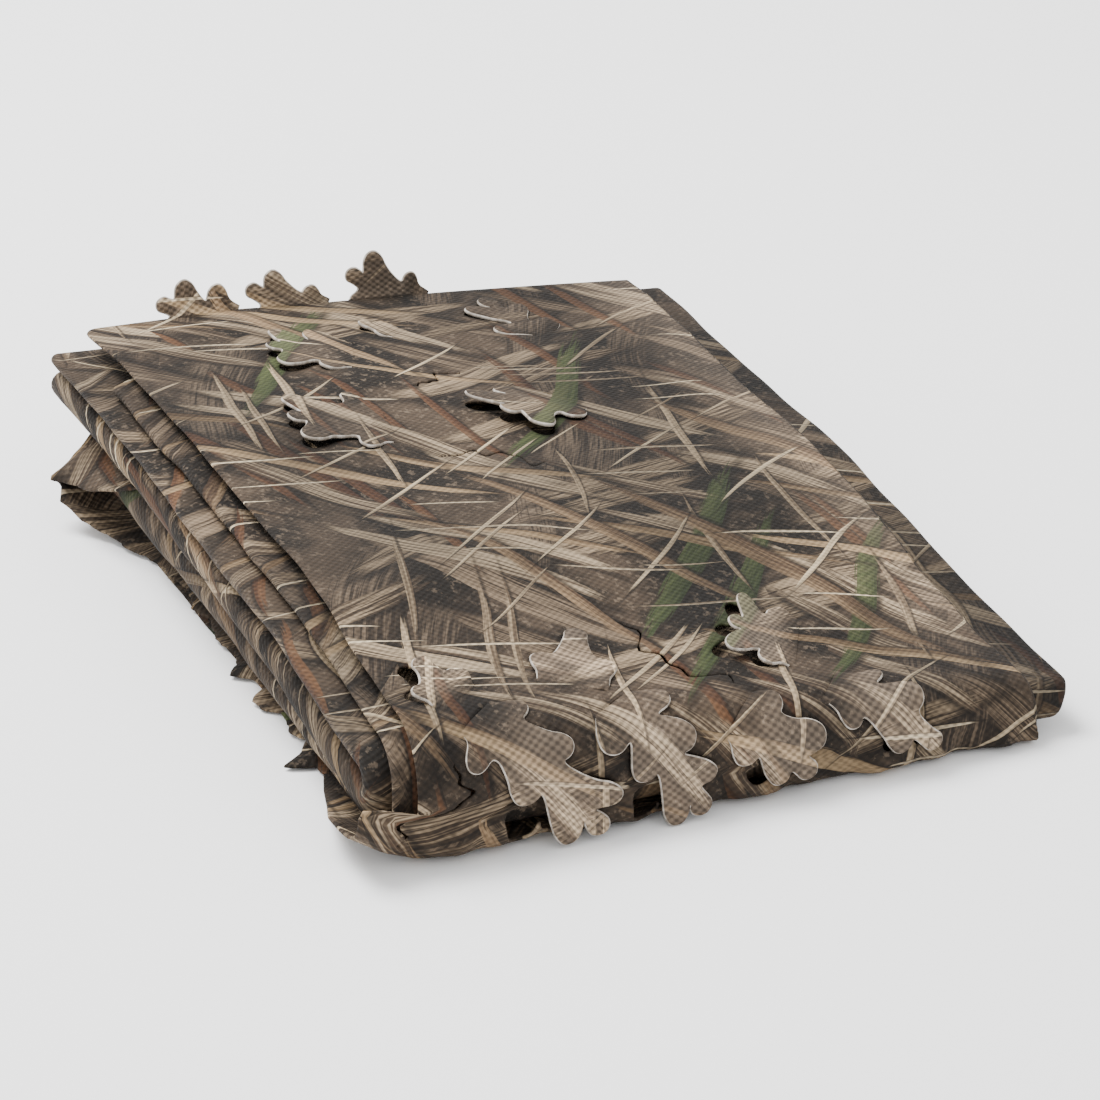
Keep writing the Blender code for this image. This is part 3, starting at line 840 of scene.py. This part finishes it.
def ragged_edges():
    """The loose inner layers' leaf edges, which hang out of the bundle's left side."""
    flap, flap_faces, flap_flat = strip(FLAP, 5, 800.0)
    skirt, skirt_faces, skirt_flat = strip(SKIRT, 8, 1100.0)
    points = np.concatenate([flap, skirt])
    faces = np.concatenate([flap_faces, skirt_faces + len(flap)])
    if face_normals(points, faces)[:, 2].mean() < 0.0:
        faces = faces[:, ::-1]
    count = len(points)
    return thick_sheet(
        "ragged_edges", points, faces, np.concatenate([flap_flat, skirt_flat]) * MM,
        np.zeros(count), np.full(count, CLOTH), np.zeros(count, bool),
    )


# ---- materials
def linear(red, green, blue):
    """Linear colour from the 0 to 255 values that a screen shows."""
    share = np.array([red, green, blue]) / 255.0
    value = np.where(share <= 0.04045, share / 12.92, ((share + 0.055) / 1.055) ** 2.4)
    return (*[float(v) for v in value], 1.0)


class Nodes:
    """Adds nodes to a tree. add and noise return the node, the others its result."""

    def __init__(self, tree):
        self.tree = tree

    def put(self, socket, value):
        """Link an output to a socket, or set the socket's own value."""
        if isinstance(value, bpy.types.NodeSocket):
            self.tree.links.new(value, socket)
        else:
            socket.default_value = value

    def add(self, kind, settings=None, **values):
        """New node of a kind, with settings as properties and values on its inputs."""
        node = self.tree.nodes.new(kind)
        for key, value in (settings or {}).items():
            setattr(node, key, value)
        for key, value in values.items():
            self.put(node.inputs[key], value)
        return node

    def of(self, kind, settings, values, places=None, result=0):
        """Result of a new node, with values on its inputs in order or at their places."""
        node = self.add(kind, settings)
        for place, value in zip(places or range(len(values)), values):
            self.put(node.inputs[place], value)
        return node.outputs[result]

    def math(self, operation, *values):
        """Math node over its values in order."""
        return self.of("ShaderNodeMath", {"operation": operation}, values)

    def vector(self, operation, *values):
        """Vector Math node over its values in order."""
        return self.of("ShaderNodeVectorMath", {"operation": operation}, values)

    def span(self, value, low, high, to_low=0.0, to_high=1.0):
        """Value eased from one range to another."""
        eased = {"interpolation_type": "SMOOTHSTEP"}
        return self.of("ShaderNodeMapRange", eased, (value, low, high, to_low, to_high))

    def mix(self, share, one, other, blend="MIX"):
        """Colour mixed from one to other."""
        colours = {"data_type": "RGBA", "blend_type": blend}
        return self.of("ShaderNodeMix", colours, (share, one, other), (0, 6, 7), 2)

    def times(self, colour, red, green, blue):
        """Colour with each of its channels multiplied by a value."""
        factors = self.add("ShaderNodeCombineColor", Red=red, Green=green, Blue=blue)
        return self.mix(1.0, colour, factors.outputs[0], "MULTIPLY")

    def noise(self, vector, scale, detail=2.0, rough=0.5):
        """Noise from 0 to 1 on a plane, as a value and as a colour."""
        return self.add(
            "ShaderNodeTexNoise", {"noise_dimensions": "2D"}, Vector=vector, Scale=scale,
            Detail=detail, Roughness=rough,
        )

    def shift(self, vector, scale, by):
        """Vector moved by a noise, as far as by says in each direction."""
        swirl = self.noise(vector, scale, 1.0).outputs["Color"]
        swirl = self.vector("SUBTRACT", swirl, (0.5, 0.5, 0.5))
        return self.vector("ADD", vector, self.vector("MULTIPLY", swirl, by))


def new_group(name, inputs, outputs):
    """Shader node group on a Vector, with named values going in and out."""
    tree = bpy.data.node_groups.new(name, "ShaderNodeTree")
    socket = tree.interface.new_socket
    socket("Vector", in_out="INPUT", socket_type="NodeSocketVector")
    for side, keys in (("INPUT", inputs), ("OUTPUT", outputs)):
        for key in keys:
            socket(key, in_out=side, socket_type="NodeSocketFloat")
    given = tree.nodes.new("NodeGroupInput").outputs
    return tree, given, tree.nodes.new("NodeGroupOutput").inputs


STROKE_INPUTS = ("Turn", "Width", "Length", "Bend", "Amount", "Fill")
GRAIN, BEND_SCALE, CROWD_SCALE = (900.0, 26.0, 0.0), 5.5, 17.0
FRAY = 0.32          # how far the lengthwise grain roughens a stroke's outline
SIZE = (0.22, 0.26)  # a stroke's size in its cell: how much it changes, the least
SOLID, SHADOW = 0.82, 1.6           # solid part and shadow of a stroke, in its size
SHADOW_SIDE = (-0.2, 0.6)           # light at which the shadow starts and is full
CROWD = (0.36, 0.62, 0.15, 1.75)    # noise and share of strokes, where few and many are


def strokes_group():
    """Printed strokes: stretched cells, each with one slender frayed stroke in it.

    A stroke is where the distance to its cell's centre is less than its size. Shadow
    is a soft band along one side of it, and Light runs from -1 to 1 across it.
    """
    tree, given, result = new_group(
        "strokes", (*STROKE_INPUTS, "Seed"), ("Mask", "Shadow", "Light", "Tint", "Grain")
    )
    make = Nodes(tree)
    seeded = make.vector("ADD", given["Vector"], given["Seed"])
    bent = make.shift(seeded, BEND_SCALE, given["Bend"])
    turned = make.add(
        "ShaderNodeVectorRotate", {"rotation_type": "Z_AXIS"}, Vector=bent, Angle=given["Turn"]
    ).outputs[0]
    size = make.add(
        "ShaderNodeCombineXYZ", X=given["Width"], Y=given["Length"], Z=1.0
    ).outputs[0]
    cells = make.vector("DIVIDE", turned, size)
    cell = make.add(
        "ShaderNodeTexVoronoi", {"voronoi_dimensions": "2D"}, Vector=cells, Scale=1.0
    ).outputs
    parts = make.add("ShaderNodeSeparateColor", Color=cell["Color"]).outputs
    grain = make.noise(make.vector("MULTIPLY", turned, GRAIN), 1.0, 2.0, 0.6).outputs[0]
    rough = make.math("MULTIPLY", make.math("SUBTRACT", grain, 0.5), given["Fill"])
    frayed = make.math("MULTIPLY_ADD", rough, FRAY, cell["Distance"])
    edge = make.math("MULTIPLY", make.math("MULTIPLY_ADD", parts[0], *SIZE), given["Fill"])
    spot = make.vector("MULTIPLY", cell["Position"], size)
    crowd = make.span(make.noise(spot, CROWD_SCALE, 1.0).outputs[0], *CROWD)
    drawn = make.math("LESS_THAN", parts[2], make.math("MULTIPLY", given["Amount"], crowd))
    solid = make.span(frayed, edge, make.math("MULTIPLY", edge, SOLID))
    aside = make.vector("SUBTRACT", cells, cell["Position"])
    aside = make.add("ShaderNodeSeparateXYZ", Vector=aside).outputs[0]
    light = make.math("DIVIDE", aside, edge)
    around = make.span(cell["Distance"], make.math("MULTIPLY", edge, SHADOW), edge)
    shadow = make.math("MULTIPLY", around, drawn)
    shadow = make.math("MULTIPLY", shadow, make.span(light, *SHADOW_SIDE))
    mask = make.math("MULTIPLY", solid, drawn)
    for socket, value in zip(result, (mask, shadow, light, parts[1], grain)):
        make.put(socket, value)
    return tree


WOBBLE_SCALE, WOBBLE, FUZZ_SCALE, FUZZ = 60.0, (0.0012, 0.0012, 0.0), 2600.0, 0.25


def weave_group():
    """Coarse rib weave: raised dots in staggered rows, from two crossed sine waves."""
    tree, given, result = new_group("weave", ("Across", "Along"), ("Height", "Fine"))
    make = Nodes(tree)
    moved = make.shift(given["Vector"], WOBBLE_SCALE, WOBBLE)
    spot = make.add("ShaderNodeSeparateXYZ", Vector=moved).outputs
    across, along = (
        make.math("SINE", make.math("MULTIPLY", make.math("DIVIDE", at, given[key]), math.pi))
        for at, key in zip(spot, ("Across", "Along"))
    )
    dots = make.math("MULTIPLY_ADD", make.math("MULTIPLY", across, along), 0.5, 0.5)
    fuzz = make.noise(given["Vector"], FUZZ_SCALE, 2.0).outputs[0]
    make.put(result["Height"], make.math("MULTIPLY_ADD", fuzz, FUZZ, dots))
    make.put(result["Fine"], fuzz)
    return tree


STROKES = (
    # turn, width, length, bend, amount, fill, grain, dark colour, light colour, strength
    (0.35, 0.03, 0.15, 0.05, 0.7, 1.0, 2.6, (46, 37, 29), (112, 96, 80), 0.85),
    (-0.8, 0.022, 0.14, 0.05, 0.55, 1.0, 3.2, (54, 43, 33), (136, 117, 97), 0.88),
    (1.25, 0.018, 0.12, 0.05, 0.5, 1.0, 3.5, (60, 48, 37), (156, 136, 112), 0.9),
    (-0.25, 0.014, 0.18, 0.045, 0.4, 0.6, 1.0, (66, 41, 28), (112, 78, 52), 0.8),
    (2.35, 0.014, 0.11, 0.05, 0.42, 1.0, 3.3, (72, 58, 46), (178, 158, 132), 0.9),
    (0.62, 0.026, 0.34, 0.04, 0.2, 0.55, 1.0, (44, 54, 30), (84, 93, 56), 0.9),
    (-1.12, 0.015, 0.28, 0.035, 0.45, 0.5, 1.2, (88, 69, 50), (176, 150, 116), 0.92),
    (0.15, 0.011, 0.24, 0.04, 0.42, 0.45, 1.4, (92, 76, 60), (192, 170, 140), 0.92),
    (-0.52, 0.024, 0.38, 0.025, 0.32, 0.5, 1.3, (74, 56, 42), (158, 132, 102), 0.95),
    (0.9, 0.008, 0.28, 0.04, 0.5, 0.3, 1.0, (118, 100, 80), (220, 200, 168), 0.9),
    (-1.45, 0.007, 0.24, 0.045, 0.5, 0.28, 1.0, (124, 107, 88), (230, 212, 182), 0.9),
)

GROUND_DARK, GROUND_PALE, SPECKS = (28, 22, 16), (78, 65, 53), (126, 110, 94)
SHADE, SHADE_DEPTH = (28, 21, 15), 0.78
ACROSS_SHADE = -0.22     # how much darker a stroke is where its Light is 1
CLOUD = (0.32, 0.68, 0.38, 0.80)    # noise and tone of the broad dark and pale areas
CLOUD_GREEN, CLOUD_BLUE = 0.99, 0.955
SEED_STEP, SEED_START = 0.37, 0.11


def camouflage(make, vector):
    """Generic camouflage colour: mottled ground with layers of printed strokes."""
    broad = make.noise(vector, 22.0, 4.0, 0.6).outputs[0]
    share = make.span(broad, 0.38, 0.64)
    colour = make.mix(share, linear(*GROUND_DARK), linear(*GROUND_PALE))
    speck = make.noise(vector, 260.0, 3.0, 0.7).outputs[0]
    colour = make.mix(make.span(speck, 0.54, 0.68, 0.0, 0.5), colour, linear(*SPECKS))
    strokes = strokes_group()
    for number, (*shape, rough, dark, light, strength) in enumerate(STROKES):
        mask, shadow, across, tint, grain = make.add(
            "ShaderNodeGroup", {"node_tree": strokes}, Vector=vector,
            Seed=SEED_STEP * number + SEED_START, **dict(zip(STROKE_INPUTS, shape)),
        ).outputs
        tone = make.math("MULTIPLY_ADD", make.math("SUBTRACT", grain, 0.5), rough, 0.25)
        tone = make.math("MULTIPLY_ADD", tint, 0.5, tone)
        tone = make.math("MULTIPLY_ADD", across, ACROSS_SHADE, tone)
        print_colour = make.mix(make.span(tone, 0.0, 1.0), linear(*dark), linear(*light))
        colour = make.mix(make.math("MULTIPLY", shadow, SHADE_DEPTH), colour, linear(*SHADE))
        colour = make.mix(make.math("MULTIPLY", mask, strength), colour, print_colour)
    cloud = make.span(make.noise(vector, 9.0, 3.0, 0.55).outputs[0], *CLOUD)
    green, blue = (make.math("MULTIPLY", cloud, much) for much in (CLOUD_GREEN, CLOUD_BLUE))
    return make.times(colour, cloud, green, blue)


RIB = {"Across": 0.0019, "Along": 0.0015}    # distances between ribs, in metres
# the tone, the attribute leaf, pales the print and lifts its ribs on leaves, partly as washed
# print and partly as painted light, and below 0 darkens them as painted shade
LEAF_PALER, LEAF_COLOUR = 0.14, (160, 142, 124)
RIB_LOW = (0.08, 0.72)       # shade between the ribs: what a leaf adds, plain cloth
RIB_HIGH = (0.90, 1.18)      # and on top of them
FIBRES_DARK, FIBRES_PALE = (140, 131, 120), (186, 178, 168)


def printed(make, uv, rib):
    """Camouflage print over the ribs of the weave, paler where the attribute leaf is above 0,
    partly as washed print and partly as painted light, and darker below 0, as painted shade.
    """
    leaf = make.add("ShaderNodeAttribute", {"attribute_name": "leaf"}).outputs["Fac"]
    colour = camouflage(make, uv)
    colour = make.mix(make.math("MULTIPLY", leaf, LEAF_PALER), colour, linear(*LEAF_COLOUR))
    low, high = (make.math("MULTIPLY_ADD", leaf, *shade) for shade in (RIB_LOW, RIB_HIGH))
    shade = make.span(rib["Height"], 0.1, 1.1, low, high)
    return make.times(colour, shade, shade, shade)


def fibres(make, uv, rib):
    """Pale fibres along a cut edge."""
    worn = make.span(make.noise(uv, 300.0, 2.0).outputs[0], 0.35, 0.7)
    return make.mix(worn, linear(*FIBRES_DARK), linear(*FIBRES_PALE))


def new_material(name, roughness, specular):
    """New material with a Principled shader, its nodes, and the shader's inputs."""
    material = bpy.data.materials.new(name)
    material.use_nodes = True
    shader = material.node_tree.nodes["Principled BSDF"].inputs
    shader["Roughness"].default_value = roughness
    shader["Specular IOR Level"].default_value = specular
    return material, Nodes(material.node_tree), shader


def woven(name, colour, weave, relief, strength, depth, roughness, specular):
    """Cloth material: a colour worked out by a function, with a bump from the weave."""
    material, make, shader = new_material(name, roughness, specular)
    uv = make.add("ShaderNodeUVMap", {"uv_map": "cloth"}).outputs[0]
    rib = make.add("ShaderNodeGroup", {"node_tree": weave}, Vector=uv, **RIB).outputs
    make.put(shader["Base Color"], colour(make, uv, rib))
    bump = make.add("ShaderNodeBump", Strength=strength, Distance=depth, Height=rib[relief])
    make.put(shader["Normal"], bump.outputs[0])
    return material


# ---- scene
def stand(spot, right, up, back):
    """Matrix of an object at a spot, with its axes in three directions."""
    turn = Matrix(np.stack([right, up, back], axis=1).tolist()).to_4x4()
    return Matrix.Translation(spot) @ turn


def add_camera():
    """Camera at the photo's viewing angle."""
    cos, sin = math.cos(CAMERA_TURN), math.sin(CAMERA_TURN)
    right = np.array([cos, sin, 0.0])
    flat = math.cos(CAMERA_TIP)
    ahead = np.array([-sin * flat, cos * flat, -math.sin(CAMERA_TIP)])
    data = bpy.data.cameras.new("camera")
    data.sensor_width = SENSOR_MM
    data.lens = LENS_PX * SENSOR_MM / FRAME_PX
    data.clip_end = 50.0
    place = stand(CAMERA_AT, right, np.cross(right, ahead), -ahead)
    bpy.context.scene.camera = new_object("camera", data, place)


LIGHTS = (
    # name, place, size, power
    ("overhead", (-0.7, 0.8, 2.1), 1.3, 108.0),
    ("front", (0.9, -1.8, 1.3), 1.4, 6.0),
    ("left", (-2.0, -0.4, 1.0), 1.4, 5.0),
)
SURROUND, SURROUND_POWER = (0.9, 0.9, 0.9, 1.0), 1.52
FLOOR, FLOOR_ROUGH, FLOOR_HALF = (0.97, 0.97, 0.97, 1.0), 0.9, 6.0


def add_lights():
    """Soft studio lights that face the bundle, and an even pale surround."""
    for name, spot, size, power in LIGHTS:
        data = bpy.data.lights.new(name, "AREA")
        data.size = size
        data.energy = power
        back = np.array(spot) / np.linalg.norm(spot)
        right = np.cross([0.0, 0.0, 1.0], back)
        right /= np.linalg.norm(right)
        new_object(name, data, stand(spot, right, np.cross(back, right), back))
    world = bpy.data.worlds.new("surround")
    world.use_nodes = True
    background = world.node_tree.nodes["Background"].inputs
    background["Color"].default_value = SURROUND
    background["Strength"].default_value = SURROUND_POWER
    bpy.context.scene.world = world


def add_floor():
    """Plain pale floor."""
    mesh = bpy.data.meshes.new("floor")
    low, high = -FLOOR_HALF, FLOOR_HALF
    corners = [(low, low, 0), (high, low, 0), (high, high, 0), (low, high, 0)]
    mesh.from_pydata(corners, [], [(0, 1, 2, 3)])
    material, _, shader = new_material("floor", FLOOR_ROUGH, 0.5)
    shader["Base Color"].default_value = FLOOR
    mesh.materials.append(material)
    new_object("floor", mesh)


add_camera()
add_lights()
add_floor()
weave = weave_group()
finishes = (
    woven("camouflage_cloth", printed, weave, "Height", 0.55, 0.0006, 0.86, 0.25),
    woven("cut_edge", fibres, weave, "Fine", 0.3, 0.0003, 0.9, 0.2),
)
cloth = net_cloth(OuterLayer())
edges = ragged_edges()
for piece in (cloth, edges):
    for finish in finishes:
        piece.data.materials.append(finish)
    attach(piece, "root")
    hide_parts("net")
